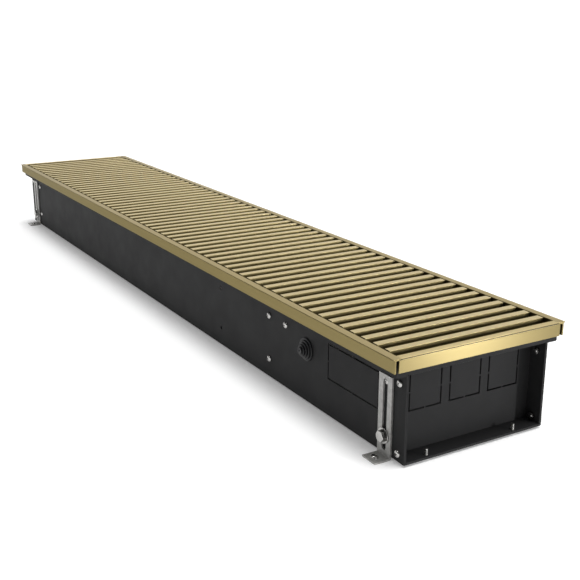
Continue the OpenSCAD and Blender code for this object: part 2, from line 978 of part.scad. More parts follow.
// Vent on the crown of the near bend, where air gathers
module air_vent_body() {
    color(brass)
        difference() {
            translate([vent_x, vent_y, tube_z_top])
                cylinder(h = vent_z - tube_z_top + vent_h, r = vent_r);
            translate([tube_x1, vent_y, tube_z_top])
                rotate_extrude()
                    translate([tube_pitch_y / 2, 0])
                        circle(tube_r + hole_gap / 2);
            translate([vent_x, vent_y, vent_z + vent_h / 2])
                cylinder(h = vent_h, r = vent_screw_r + bush_gap);
        }
}

module air_vent_screw() {
    slot_w = vent_screw_r / 2;
    color(steel)
        difference() {
            translate([vent_x, vent_y, vent_z + vent_h / 2 + hole_gap])
                cylinder(h = vent_h * vent_share, r = vent_screw_r);
            translate([vent_x - vent_r, vent_y - slot_w / 2, vent_z + vent_h + vent_screw_r / 2])
                cube([2 * vent_r, slot_w, vent_h]);
        }
}

rotor_r = rotor_d / 2;
motor_x1 = near_panel_x - run_gap;
motor_x0 = motor_x1 - motor_l;
coupling_share = 1.5;
coupling_l = shaft_d * coupling_share;
fan_x1 = motor_x0 - sheet_t - coupling_l;
rotor_x1 = fan_x1 - fan_gap;
fan_x0 = far_panel_x + fan_far_gap;
rotor_x0 = fan_x0 + fan_gap;
rotor_l = rotor_x1 - rotor_x0;
scroll_lip_share = 0.75;
scroll_top = scroll_r * scroll_lip_share;

// Scroll wall round the rotor, drawn as (y, z) about the rotor's axis
module scroll_section() {
    difference() {
        circle(scroll_r + scroll_t);
        circle(scroll_r);
        translate([0, -2 * scroll_r])
            square(4 * scroll_r);
        translate([-2 * scroll_r, scroll_top])
            square(4 * scroll_r);
    }
    translate([0, -scroll_r - scroll_t])
        square([fan_y + fin_y - run_gap, scroll_t]);
}

module fan_scroll() {
    color(zinc)
        translate([0, -fan_y, fan_z])
            along_x(fan_x0, fan_x1)
                scroll_section();
}

// Tongue between the rotor and the top of the exchanger
tongue_share = 0.72;
tongue_y = scroll_r * tongue_share;

module fan_tongue() {
    tongue_z = fin_z + fin_h - fan_z;
    tongue_end = fan_y + fin_y - run_gap;
    color(zinc)
        translate([0, -fan_y, fan_z])
            along_x(fan_x0, fan_x1) {
                translate([tongue_y, tongue_y])
                    square([scroll_t, tongue_z - tongue_y]);
                translate([tongue_y, tongue_z - scroll_t])
                    square([tongue_end - tongue_y, scroll_t]);
            }
}

bush_r = shaft_d;
ring_r = 2 * shaft_d;

// Plate at each end of the fan, standing on the trough's floor
module fan_end_plates() {
    plate_w = fan_y + fin_y + scroll_r + 2 * scroll_t;
    plate_h = fin_z + fin_h - trough_floor;
    toe_l = coupling_l / 2;
    color(zinc)
        for (p = [[fan_x0 - sheet_t, -toe_l], [fan_x1, sheet_t]])
            difference() {
                translate([p[0], -fan_y - scroll_r - 2 * scroll_t, trough_floor]) {
                    cube([sheet_t, plate_w - run_gap, plate_h]);
                    translate([p[1], 0, 0])
                        cube([toe_l, plate_w - run_gap, sheet_t]);
                }
                translate([p[0] - cut, -fan_y, fan_z])
                    rotate([0, 90, 0])
                        cylinder(h = sheet_t + 2 * cut, r = ring_r);
            }
}

// Forward-curved blades between discs
module blade_ring() {
    blade_r = blade_depth;
    for (i = [0 : blade_count - 1])
        rotate(i * 360 / blade_count)
            intersection() {
                translate([rotor_r - blade_depth / 2, blade_r])
                    difference() {
                        circle(blade_r);
                        circle(blade_r - blade_t);
                    }
                translate([rotor_r - blade_depth, -blade_depth / 2])
                    square([blade_depth - blade_t, blade_depth]);
            }
}

module fan_rotor() {
    disc_count = floor(rotor_l / disc_pitch);
    disc_step = (rotor_l - disc_t) / disc_count;
    color(aluminium)
        translate([rotor_x0, -fan_y, fan_z])
            rotate([90, 0, 90]) {
                linear_extrude(rotor_l)
                    blade_ring();
                for (i = [0 : disc_count])
                    translate([0, 0, i * disc_step])
                        linear_extrude(disc_t)
                            difference() {
                                circle(rotor_r);
                                circle(i == 0 || i == disc_count ? shaft_d / 2 : rotor_r - blade_depth);
                            }
            }
}

// Stub shafts: one in the far bearing, one in the motor's coupling
module rotor_shafts() {
    stub_in = ring_r;
    color(steel)
        translate([0, -fan_y, fan_z])
            rotate([0, 90, 0]) {
                translate([0, 0, fan_x0 - shaft_d])
                    cylinder(h = shaft_d + fan_gap + stub_in, r = shaft_d / 2);
                translate([0, 0, rotor_x1 - stub_in])
                    cylinder(h = stub_in + fan_gap + sheet_t + coupling_l / 2, r = shaft_d / 2);
            }
}

module rotor_coupling() {
    color(rubber)
        translate([fan_x1 + sheet_t, -fan_y, fan_z])
            rotate([0, 90, 0])
                difference() {
                    cylinder(h = coupling_l - sheet_t - run_gap, r = bush_r);
                    translate([0, 0, -cut])
                        cylinder(h = coupling_l + 2 * cut, r = shaft_d / 2);
                }
}

// The motor's own shaft, from inside the motor into the coupling
shaft_seat = motor_l / 6;

module motor_shaft() {
    color(steel)
        translate([motor_x0 - coupling_l / 3, -fan_y, fan_z])
            rotate([0, 90, 0])
                cylinder(h = coupling_l / 3 + shaft_seat - run_gap, r = shaft_d / 2);
}

// Motor with cooling ribs, carried by two saddles beside the near cradle
module fan_motor() {
    rib_count = 18;
    rib_t = sheet_t;
    color(charcoal)
        translate([motor_x0, -fan_y, fan_z])
            rotate([0, 90, 0]) {
                difference() {
                    cylinder(h = motor_l, r = motor_d / 2 - rib_t);
                    translate([0, 0, -cut])
                        cylinder(h = shaft_seat + cut, r = shaft_d / 2 + bush_gap);
                }
                translate([0, 0, motor_l / 6])
                    linear_extrude(motor_l * 2 / 3)
                        for (i = [0 : rib_count - 1])
                            rotate(i * 360 / rib_count)
                                translate([0, -rib_t / 2])
                                    square([motor_d / 2, rib_t]);
            }
}

// Two saddles that carry the motor on the trough's floor
module motor_feet() {
    saddle_share = 0.8;
    saddle_w = motor_d * saddle_share;
    saddle_l = motor_l / 8;
    color(zinc)
        for (x = [motor_x0, motor_x1 - saddle_l])
            difference() {
                translate([x, -fan_y - saddle_w / 2, trough_floor])
                    cube([saddle_l, saddle_w, fan_z - trough_floor - motor_d / 4]);
                translate([x - cut, -fan_y, fan_z])
                    rotate([0, 90, 0])
                        cylinder(h = saddle_l + 2 * cut, r = motor_d / 2 - sheet_t + hole_gap / 2);
            }
}

module bearing_bush() {
    color(brass)
        translate([fan_x0 - shaft_d, -fan_y, fan_z])
            rotate([0, 90, 0])
                difference() {
                    cylinder(h = shaft_d, r = bush_r);
                    translate([0, 0, -cut])
                        cylinder(h = shaft_d + 2 * cut, r = shaft_d / 2 + bush_gap);
                }
}

// Rubber ring that isolates the bush from the end plate
module bearing_ring() {
    color(rubber)
        translate([fan_x0 - shaft_d, -fan_y, fan_z])
            rotate([0, 90, 0])
                difference() {
                    union() {
                        cylinder(h = shaft_d, r = ring_r - hole_gap / 2);
                        cylinder(h = shaft_d - sheet_t, r = ring_r + 2 * sheet_t);
                    }
                    translate([0, 0, -cut])
                        cylinder(h = shaft_d + 2 * cut, r = bush_r);
                }
}

box_y = -wall_in;
box_screw_share = 0.72;
box_z = box_screw_z - box_h * box_screw_share;
box_x0 = box_x - box_l / 2;
lead_r = lead_d / 2;
lead_bend = 1.5 * lead_d;
lead_x0 = motor_x1;
lead_x1 = box_x0 - 2 * lead_bend;
lead_rise = lead_d;
lead_end_z = lead_z + 2 * lead_bend + lead_rise;

module terminal_box() {
    color(grey)
        difference() {
            translate([box_x0, box_y, box_z])
                cube([box_l, box_w, box_h]);
            translate([box_x0 + box_t, box_y + box_t, box_z + box_t])
                cube([box_l - 2 * box_t, box_w - 2 * box_t, box_h]);
            translate([box_x, box_y - cut, box_screw_z])
                rotate([-90, 0, 0])
                    cylinder(h = box_t + 2 * cut, r = hole_r);
            translate([box_x0 - cut, -lead_y, lead_end_z])
                rotate([0, 90, 0])
                    cylinder(h = box_t + 2 * cut, r = lead_d / 2 + hole_gap);
            translate([box_x0 + box_l - box_t - cut, box_y + box_w / 2, box_z + box_h / 2])
                rotate([0, 90, 0])
                    cylinder(h = box_t + 2 * cut, r = lead_d);
        }
}

module terminal_box_lid() {
    lid_skirt = 2 * box_t;
    color(grey) {
        translate([box_x0, box_y, box_z + box_h])
            cube([box_l, box_w, box_t]);
        translate([box_x0 + box_t + hole_gap, box_y + box_t + hole_gap, box_z + box_h - lid_skirt])
            difference() {
                cube([box_l - 2 * box_t - 2 * hole_gap, box_w - 2 * box_t - 2 * hole_gap, lid_skirt]);
                translate([box_t, box_t, -cut])
                    cube([box_l - 4 * box_t - 2 * hole_gap, box_w - 4 * box_t - 2 * hole_gap,
                        lid_skirt + cut]);
            }
    }
}

// Row of terminals on the floor of the box
module terminal_block() {
    pole_count = 4;
    pole_l = (box_l - 6 * box_t) / pole_count;
    pole_h = box_h / 4;
    color("ivory")
        difference() {
            translate([box_x0 + 3 * box_t, box_y + box_w / 3, box_z + box_t])
                cube([pole_count * pole_l, box_w / 3, pole_h]);
            for (i = [0 : pole_count - 1])
                translate([box_x0 + 3 * box_t + (i + 1 / 2) * pole_l, box_y + box_w / 2,
                        box_z + box_t + pole_h / 2])
                    cylinder(h = pole_h, r = pole_l / 4);
        }
}

module terminal_box_screw() {
    color(steel)
        translate([box_x, -half_w, box_screw_z])
            outward(-1)
                pan_screw(screw_head_d, screw_head_h, screw_d, sheet_t + 2 * box_t);
}

// Stepped rubber cone outside the wall, a neck in the wall and a flange inside it
module cable_grommet() {
    step_share = 0.8;
    step_h = screw_head_h * step_share;
    step_r = grommet_d / 2 / (grommet_steps + 1);
    color(rubber)
        translate([grommet_x, -half_w, grommet_z])
            outward(-1) {
                for (i = [0 : grommet_steps - 1])
                    translate([0, 0, i * step_h])
                        cylinder(h = step_h, r = grommet_d / 2 - i * step_r);
                translate([0, 0, -2 * sheet_t])
                    cylinder(h = 2 * sheet_t, r = grommet_neck_r);
                translate([0, 0, -2 * sheet_t - run_gap])
                    cylinder(h = sheet_t, r = grommet_d / 2 - sheet_t);
            }
}

// Motor lead: out of the motor, through the cradle, up and into the terminal box
module lead_elbow() {
    rotate([90, 0, 0])
        rotate_extrude(angle = 90)
            translate([lead_bend, 0])
                circle(lead_r);
}

module motor_lead() {
    color(rubber)
        translate([0, -lead_y, 0]) {
            translate([lead_x0, 0, lead_z])
                rotate([0, 90, 0])
                    cylinder(h = lead_x1 - lead_x0, r = lead_r);
            translate([lead_x1, 0, lead_z + lead_bend])
                rotate([0, 90, 0])
                    lead_elbow();
            translate([lead_x1 + lead_bend, 0, lead_z + lead_bend])
                cylinder(h = lead_rise, r = lead_r);
            translate([lead_x1 + 2 * lead_bend, 0, lead_z + lead_bend + lead_rise])
                rotate([0, -90, 0])
                    lead_elbow();
            translate([lead_x1 + 2 * lead_bend, 0, lead_end_z])
                rotate([0, 90, 0])
                    cylinder(h = 2 * box_t, r = lead_r);
        }
}

trough_shell();
near_end_plate();
far_end_plate();
front_frame_rail();
rear_frame_rail();
near_frame_rail();
far_frame_rail();
grille_seat_strips();
grille_slats();
grille_rods();
grille_spacers();
grille_rod_nuts();
near_front_foot();
near_rear_foot();
far_front_foot();
far_rear_foot();
near_front_plate_screw();
near_rear_plate_screw();
far_front_plate_screw();
far_rear_plate_screw();
foot_bolts();
foot_washers();
foot_weld_nuts();
foot_guide_screws();
end_plate_screws();
end_plate_nuts();
base_screws();
near_cradle();
far_cradle();
cradle_screws();
cradle_nuts();
exchanger_fins();
exchanger_side_plates();
exchanger_tubes();
exchanger_far_bends();
exchanger_near_bend();
supply_socket();
return_socket();
air_vent_body();
air_vent_screw();
fan_scroll();
fan_tongue();
fan_end_plates();
fan_rotor();
rotor_shafts();
rotor_coupling();
motor_shaft();
fan_motor();
motor_feet();
bearing_bush();
bearing_ring();
terminal_box();
terminal_box_lid();
terminal_block();
terminal_box_screw();
cable_grommet();
motor_lead();
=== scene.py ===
"""Trench convector heater with a roll-up grille, dressed on its CAD frame."""

import json
from math import cos, pi, radians, sin

import bmesh
import bpy
from mathutils import Matrix, Vector


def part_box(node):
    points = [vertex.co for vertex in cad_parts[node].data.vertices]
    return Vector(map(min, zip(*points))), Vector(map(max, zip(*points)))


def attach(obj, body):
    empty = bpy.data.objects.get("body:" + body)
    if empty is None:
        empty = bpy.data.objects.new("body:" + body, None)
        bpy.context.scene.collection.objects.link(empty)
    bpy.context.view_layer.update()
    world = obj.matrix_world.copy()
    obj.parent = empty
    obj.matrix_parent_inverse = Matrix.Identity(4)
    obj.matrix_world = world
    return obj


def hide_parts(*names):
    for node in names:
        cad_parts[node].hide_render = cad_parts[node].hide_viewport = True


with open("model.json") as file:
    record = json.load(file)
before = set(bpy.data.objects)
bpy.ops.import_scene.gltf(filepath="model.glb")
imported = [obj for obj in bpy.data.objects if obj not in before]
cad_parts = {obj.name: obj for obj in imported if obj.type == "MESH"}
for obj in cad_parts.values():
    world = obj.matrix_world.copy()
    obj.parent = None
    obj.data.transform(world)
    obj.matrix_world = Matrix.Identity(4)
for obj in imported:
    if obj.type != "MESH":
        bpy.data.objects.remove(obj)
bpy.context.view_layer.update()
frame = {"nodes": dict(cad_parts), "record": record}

MM = 0.001

# The sheet of the trough and its end plates, and the thicker strip that the feet are bent from.
SHEET = 1.5 * MM
FOOT_STRIP = 2.5 * MM

NODES = frame["nodes"]
BODIES = frame["record"]["behaviour"]["bodies"]
BODY_OF = {node: body for body, nodes in BODIES.items() for node in nodes}
SLOT_OF = {name: node.material_slots[0].material.name for name, node in NODES.items()}

# Scales that draw a pattern out along one axis, or along none.
ALONG_X = (0.01, 1, 1)
ALONG_Y = (1, 0.01, 1)
ALONG_Z = (1, 1, 0.01)
EVENLY = (1, 1, 1)

# The range that most of a noise lies in.
NOISE_LOW, NOISE_HIGH = 0.3, 0.7

# The mix node's sockets have the same names for each kind of data, so they go by number.
FACTOR, NUMBER_A, NUMBER_B, NUMBER_OUT = 0, 2, 3, 0
COLOUR_A, COLOUR_B, COLOUR_OUT = 6, 7, 2


# Material nodes

def add(material, kind, settings=None, inputs=None):
    """A new shader node; inputs are values or sockets to link, by name or number."""
    tree = material.node_tree
    made = tree.nodes.new(kind)
    for name, value in (settings or {}).items():
        setattr(made, name, value)
    for name, value in (inputs or {}).items():
        if isinstance(value, bpy.types.NodeSocket):
            tree.links.new(value, made.inputs[name])
        else:
            made.inputs[name].default_value = value
    return made


def new_material(name, colour, metallic, roughness, specular=0.5):
    """A material whose even values sit on the shader's own sockets."""
    material = bpy.data.materials.new(name)
    material.use_nodes = True
    inputs = shader_of(material).inputs
    inputs["Base Color"].default_value = (*colour, 1)
    inputs["Metallic"].default_value = metallic
    inputs["Roughness"].default_value = roughness
    inputs["Specular IOR Level"].default_value = specular
    return material


def shader_of(material):
    """The material's main shader node."""
    return material.node_tree.nodes["Principled BSDF"]


def noise(material, size, stretch=EVENLY, detail=3):
    """Noise with features of this size in metres, drawn out along an axis."""
    place = add(material, "ShaderNodeTexCoord")
    fitted = add(material, "ShaderNodeMapping", inputs={
        "Vector": place.outputs["Object"], "Scale": stretch})
    return add(material, "ShaderNodeTexNoise", inputs={
        "Vector": fitted.outputs["Vector"], "Scale": 1 / size, "Detail": detail}).outputs["Fac"]


def cells(material, size):
    """A random value for each crystal of this size in metres."""
    place = add(material, "ShaderNodeTexCoord")
    made = add(material, "ShaderNodeTexVoronoi", inputs={
        "Vector": place.outputs["Object"], "Scale": 1 / size})
    return add(material, "ShaderNodeSeparateColor", inputs={
        "Color": made.outputs["Color"]}).outputs["Red"]


def between(material, source, low, high):
    """The source's usual range carried over to low and high."""
    return add(material, "ShaderNodeMapRange", inputs={
        "Value": source, "From Min": NOISE_LOW, "From Max": NOISE_HIGH,
        "To Min": low, "To Max": high}).outputs["Result"]


def combined(material, operation, *values):
    """The result of a sum of this kind; each value is a number or a socket."""
    return add(material, "ShaderNodeMath", {"operation": operation},
               dict(enumerate(values))).outputs["Value"]


def vary_roughness(material, source, low, high):
    """Roughness that follows the source from low to high."""
    material.node_tree.links.new(between(material, source, low, high),
                                 shader_of(material).inputs["Roughness"])


def vary_colour(material, source, dark, light):
    """A base colour that follows the source from dark to light."""
    mixed = add(material, "ShaderNodeMix", {"data_type": "RGBA"}, {
        FACTOR: between(material, source, 0, 1), COLOUR_A: (*dark, 1), COLOUR_B: (*light, 1)})
    material.node_tree.links.new(mixed.outputs[COLOUR_OUT],
                                 shader_of(material).inputs["Base Color"])


def bump(material, *layers):
    """Relief in layers; each layer is a source, a strength and a height in metres."""
    normal = None
    for source, strength, height in layers:
        inputs = {"Height": source, "Strength": strength, "Distance": height}
        if normal:
            inputs["Normal"] = normal
        normal = add(material, "ShaderNodeBump", inputs=inputs).outputs["Normal"]
    material.node_tree.links.new(normal, shader_of(material).inputs["Normal"])


# Materials

def powder_coat():
    """Matt charcoal powder coat with a fine orange peel."""
    coat = new_material("charcoal_powder_coat", (0.018, 0.018, 0.0185), 0, 0.6, 0.13)
    vary_colour(coat, noise(coat, 160 * MM), (0.0160, 0.0160, 0.0165), (0.0174, 0.0174, 0.0179))
    vary_roughness(coat, noise(coat, 30 * MM), 0.58, 0.65)
    bump(coat, (noise(coat, 1.4 * MM, detail=2), 0.25, 0.08 * MM))
    return coat


def anodised(name, grain, streak, side, top=1.0, edge=1.0):
    """Pale gold anodised aluminium, satin, with fine lines along the extrusion.

    Streak draws the highlights out across the lines. Side and top are the shares of the colour
    that faces get which look sideways or up: painted shade on the sides and painted light on the
    tops, as light falls on them. Edge is the tint's share at a grazing view.
    """
    rough = 0.36
    gold = new_material(name, (0.44, 0.36, 0.19), 1, rough)
    shader_of(gold).inputs["Anisotropic"].default_value = streak
    shader_of(gold).inputs["Specular Tint"].default_value = (edge, 0.97 * edge, 0.88 * edge, 1)
    normal = add(gold, "ShaderNodeNewGeometry").outputs["Normal"]
    along = [1 if share < 1 else 0 for share in grain]
    across = add(gold, "ShaderNodeVectorMath", {"operation": "CROSS_PRODUCT"},
                 {0: normal, 1: along}).outputs["Vector"]
    gold.node_tree.links.new(across, shader_of(gold).inputs["Tangent"])
    # Painted light and shade: the colour runs from the darker side share to the lighter top share
    # as the face turns up.
    up = add(gold, "ShaderNodeSeparateXYZ", inputs={"Vector": normal}).outputs["Z"]
    cloud = combined(gold, "MULTIPLY_ADD", noise(gold, 60 * MM, grain), 0.15, 0.225)
    vary_colour(gold, combined(gold, "MULTIPLY_ADD", up, NOISE_HIGH - NOISE_LOW, cloud),
                (0.44 * side, 0.355 * side, 0.16 * side), (0.45 * top, 0.37 * top, 0.20 * top))
    lines = noise(gold, 0.9 * MM, grain, detail=5)
    vary_roughness(gold, lines, rough - 0.04, rough + 0.04)
    bump(gold, (lines, 0.12, 0.03 * MM))
    return gold


def zinc():
    """Galvanised sheet, satin, with a faint spangle."""
    coat = new_material("satin_zinc", (0.36, 0.356, 0.342), 0.3, 0.42)
    spangle = cells(coat, 3.5 * MM)
    vary_colour(coat, spangle, (0.33, 0.326, 0.312), (0.39, 0.386, 0.372))
    vary_roughness(coat, noise(coat, 6 * MM), 0.37, 0.48)
    bump(coat, (noise(coat, 0.8 * MM, ALONG_Z), 0.08, 0.03 * MM), (spangle, 0.05, 0.02 * MM))
    return coat


def steel():
    """Bright plated steel of the screws, rods and shafts."""
    metal = new_material("bright_plated_steel", (0.45, 0.445, 0.43), 1, 0.2)
    vary_colour(metal, noise(metal, 5 * MM), (0.41, 0.405, 0.39), (0.49, 0.485, 0.47))
    vary_roughness(metal, noise(metal, 1.5 * MM), 0.16, 0.26)
    bump(metal, (noise(metal, 0.6 * MM), 0.05, 0.02 * MM))
    return metal


def rubber():
    """Black rubber with a dull bloom."""
    gum = new_material("moulded_rubber", (0.013, 0.013, 0.014), 0, 0.5, 0.3)
    vary_colour(gum, noise(gum, 8 * MM), (0.011, 0.011, 0.012), (0.016, 0.016, 0.017))
    vary_roughness(gum, noise(gum, 3 * MM), 0.42, 0.58)
    bump(gum, (noise(gum, 0.5 * MM), 0.1, 0.03 * MM))
    return gum


def copper():
    """Drawn copper pipe with patches of tarnish."""
    pipe = new_material("drawn_copper", (0.80, 0.42, 0.27), 1, 0.3)
    vary_colour(pipe, noise(pipe, 14 * MM, detail=6), (0.58, 0.27, 0.16), (0.86, 0.47, 0.31))
    vary_roughness(pipe, noise(pipe, 6 * MM, detail=5), 0.22, 0.45)
    bump(pipe, (noise(pipe, 0.7 * MM, ALONG_X), 0.08, 0.03 * MM))
    return pipe


def brass():
    """Turned brass fittings."""
    metal = new_material("turned_brass", (0.72, 0.53, 0.25), 1, 0.28)
    vary_colour(metal, noise(metal, 9 * MM), (0.64, 0.45, 0.19), (0.76, 0.57, 0.29))
    vary_roughness(metal, noise(metal, 3 * MM), 0.22, 0.38)
    bump(metal, (noise(metal, 0.6 * MM), 0.08, 0.03 * MM))
    return metal


def fin_foil():
    """Thin aluminium fins with pressed ripples."""
    foil = new_material("fin_foil", (0.76, 0.77, 0.78), 1, 0.34)
    vary_colour(foil, noise(foil, 25 * MM), (0.71, 0.72, 0.73), (0.80, 0.81, 0.82))
    vary_roughness(foil, noise(foil, 4 * MM), 0.28, 0.42)
    bump(foil, (noise(foil, 2.2 * MM, ALONG_Z), 0.3, 0.2 * MM))
    return foil


def blade_aluminium():
    """Rolled aluminium blades and discs of the fan."""
    metal = new_material("blade_aluminium", (0.68, 0.69, 0.70), 1, 0.3)
    vary_colour(metal, noise(metal, 18 * MM), (0.62, 0.63, 0.64), (0.72, 0.73, 0.74))
    vary_roughness(metal, noise(metal, 3 * MM, ALONG_X), 0.24, 0.4)
    bump(metal, (noise(metal, 0.7 * MM, ALONG_X), 0.1, 0.03 * MM))
    return metal


def motor_paint():
    """Grey stoved paint on the motor's can."""
    paint = new_material("stoved_paint", (0.10, 0.105, 0.11), 0, 0.4)
    vary_colour(paint, noise(paint, 20 * MM), (0.088, 0.093, 0.098), (0.112, 0.117, 0.122))
    vary_roughness(paint, noise(paint, 4 * MM), 0.34, 0.5)
    bump(paint, (noise(paint, 1.1 * MM), 0.15, 0.05 * MM))
    return paint


def plastic(name, colour, lighter):
    """Moulded plastic with a fine spark-eroded grain."""
    moulded = new_material(name, colour, 0, 0.45)
    vary_colour(moulded, noise(moulded, 12 * MM), colour, lighter)
    vary_roughness(moulded, noise(moulded, 2 * MM), 0.4, 0.55)
    bump(moulded, (noise(moulded, 0.5 * MM), 0.2, 0.04 * MM))
    return moulded


# One gold finish in three copies, which differ in the painted shade on their sides and the painted
# light on their tops, set for how light falls on each part, and in streak and edge tint.
GOLD_LONG = anodised("gold_long_rails", ALONG_X, streak=0.8, side=0.57, top=1.12, edge=0.6)
GOLD_END = anodised("gold_end_rails", ALONG_Y, streak=0.95, side=0.4, top=1.25, edge=0.6)
RAIL_GOLDS = {"front_frame_rail": GOLD_LONG, "rear_frame_rail": GOLD_LONG,
              "near_frame_rail": GOLD_END, "far_frame_rail": GOLD_END}
FINISHES = {
    "trough_black": powder_coat(),
    "gold_anodised": anodised("gold_slats", ALONG_Y, streak=0.7, side=0.4, top=1.06),
    "zinc_plated": zinc(),
    "bright_steel": steel(),
    "black_rubber": rubber(),
    "copper_tube": copper(),
    "brass_fitting": brass(),
    "fin_aluminium": fin_foil(),
    "fan_aluminium": blade_aluminium(),
    "motor_paint": motor_paint(),
    "grey_plastic": plastic("grey_moulding", (0.30, 0.31, 0.32), (0.34, 0.35, 0.36)),
    "ivory_plastic": plastic("ivory_moulding", (0.66, 0.61, 0.50), (0.72, 0.67, 0.56)),
}


def finish_of(node):
    """The node's material: a rail's copy of the gold, with its own painted shade and light, or
    else that of its slot.
    """
    return RAIL_GOLDS.get(node, FINISHES[SLOT_OF[node]])


def dress_cad_nodes():
    """Puts the finishes on the CAD's own solids, for the nodes that keep them."""
    for name, node in NODES.items():
        for slot in node.material_slots:
            slot.material = finish_of(name)


# Shapes

def cad_shape(node):
    """The CAD node's surface with its split points joined."""
    shape = bmesh.new()
    shape.from_mesh(NODES[node].data)
    bmesh.ops.remove_doubles(shape, verts=shape.verts, dist=0.001 * MM)
    return shape


def flat_regions(shape):
    """For each face the number of the flat region that it lies in, and the regions' areas."""
    region, areas = {}, []
    for first in shape.faces:
        if first in region:
            continue
        region[first] = len(areas)
        waiting, area = [first], 0
        while waiting:
            face = waiting.pop()
            area += face.calc_area()
            for edge in face.edges:
                for other in edge.link_faces:
                    if other not in region and other.normal.dot(first.normal) > 0.9999:
                        region[other] = len(areas)
                        waiting.append(other)
        areas.append(area)
    return region, areas


def even_normals(shape, blend=cos(radians(50))):
    """A normal for each corner of each face: wide flat faces stay flat, and small ones bend."""
    region, areas = flat_regions(shape)
    normals = []
    for face in shape.faces:
        for corner in face.loops:
            near = {region[other]: other.normal for other in corner.vert.link_faces
                    if other.normal.dot(face.normal) > blend}
            total = Vector()
            for number, normal in near.items():
                total += areas[number] * normal
            normals.append(total.normalized() if total.length > 0 else face.normal.copy())
    return normals


def keep(shape, node, label):
    """Puts a finished shape in the scene in place of the node, on the node's own body."""
    shape.normal_update()
    for face in shape.faces:
        face.smooth = True
    normals = even_normals(shape)
    name = f"{node}_{label}"
    mesh = bpy.data.meshes.new(name)
    shape.to_mesh(mesh)
    shape.free()
    mesh.normals_split_custom_set(normals)
    mesh.materials.append(finish_of(node))
    piece = bpy.data.objects.new(name, mesh)
    bpy.context.scene.collection.objects.link(piece)
    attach(piece, BODY_OF[node])
    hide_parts(node)
    return piece


def is_sharp(edge):
    """True where two faces meet at an angle that isn't part of a curve."""
    return len(edge.link_faces) == 2 and edge.calc_face_angle() > radians(40)


def is_fold(edge, least=4 * MM, shortest=15 * MM):
    """True where two wide walls of sheet meet, and not at a cut edge or a corner of a hole."""
    length = edge.calc_length()
    wide = all(2 * face.calc_area() > least * length for face in edge.link_faces)
    return length > shortest and is_sharp(edge) and wide


def round_edges(shape, edges, radius, segments=2):
    """Rounds these edges of the shape."""
    bmesh.ops.bevel(shape, geom=edges, offset=radius, segments=segments, profile=0.5,
                    affect="EDGES", clamp_overlap=True)


def soften(node, edge=0.25 * MM, sheet=None):
    """Rounds the node's edges; sheet is the thickness of a folded sheet, whose folds get radii."""
    shape = cad_shape(node)
    if sheet:
        for radius, outside in ((0.9 * sheet, True), (0.35 * sheet, False)):
            folds = [e for e in shape.edges if is_fold(e) and e.is_convex == outside]
            round_edges(shape, folds, radius, 4)
    round_edges(shape, [e for e in shape.edges if is_sharp(e)], edge)
    return keep(shape, node, "rounded")


def turned(profile, steps=32, reach=None):
    """A shape turned about Z from (radius, height) pairs that start and end on the axis."""
    shape = bmesh.new()
    rings = []
    for radius, height in profile:
        if radius == 0:
            rings.append([shape.verts.new((0, 0, height))])
            continue
        ring = []
        for i in range(steps):
            angle = 2 * pi * i / steps
            r, z = reach(angle, radius, height) if reach else (radius, height)
            ring.append(shape.verts.new((r * cos(angle), r * sin(angle), z)))
        rings.append(ring)
    for upper, lower in zip(rings, rings[1:]):
        for i in range(steps):
            a, b = upper[i % len(upper)], upper[(i + 1) % len(upper)]
            c, d = lower[(i + 1) % len(lower)], lower[i % len(lower)]
            shape.faces.new(list(dict.fromkeys((a, d, c, b))))
    return shape


def as_object(shape, name):
    """A new object in the scene with this shape."""
    mesh = bpy.data.meshes.new(name)
    shape.to_mesh(mesh)
    shape.free()
    made = bpy.data.objects.new(name, mesh)
    bpy.context.scene.collection.objects.link(made)
    return made


def carved(shape, cutter):
    """The shape with the cutter taken out of it, as a mesh."""
    body, tool = as_object(shape, "carved_body"), as_object(cutter, "carving_tool")
    cut = body.modifiers.new("cut", "BOOLEAN")
    cut.object = tool
    cut.solver = "EXACT"
    graph = bpy.context.evaluated_depsgraph_get()
    mesh = bpy.data.meshes.new_from_object(body.evaluated_get(graph))
    bpy.data.objects.remove(body)
    bpy.data.objects.remove(tool)
    return mesh


def cross_cutter(reach, width, top, bottom):
    """A tapered cross for the driver's recess."""
    taper = 0.6
    outline = []
    for turn in range(4):
        angle = turn * pi / 2
        ahead, aside = Vector((cos(angle), sin(angle))), Vector((-sin(angle), cos(angle)))
        outline += [ahead * reach - aside * width, ahead * reach + aside * width,
                    ahead * width + aside * width]
    shape = bmesh.new()
    low = [shape.verts.new((p.x * taper, p.y * taper, bottom)) for p in outline]
    high = [shape.verts.new((p.x, p.y, top)) for p in outline]
    shape.faces.new(low[::-1])
    shape.faces.new(high)
    count = len(outline)
    for i in range(count):
        j = (i + 1) % count
        shape.faces.new((low[i], low[j], high[j], high[i]))
    return shape


def thread(radius, length, pitch=0.8 * MM):
    """The profile of a threaded shank that hangs down from height 0."""
    points, depth = [], 0.5 * pitch
    for i in range(int(length / pitch)):
        points += [(radius - depth, -i * pitch), (radius, -(i + 0.5) * pitch)]
    return points + [(radius - depth, -length + 0.3 * MM), (radius - 2 * depth, -length),
                     (0, -length)]


def pan_screw(head_r, head_h, shank_r, shank_l):
    """A domed screw with a cross recess, head up, seated at height 0."""
    steps, rim = 8, 0.2
    dome = [(0, head_h)]
    for i in range(1, steps + 1):
        angle = pi / 2 * i / steps
        dome.append((head_r * sin(angle), head_h * (rim + (1 - rim) * cos(angle))))
    dome += [(head_r, 0.08 * head_h), (head_r - 0.08 * head_h, 0)]
    shape = turned(dome + thread(shank_r, shank_l))
    return carved(shape, cross_cutter(0.52 * head_r, 0.11 * head_r, 1.2 * head_h, 0.35 * head_h))


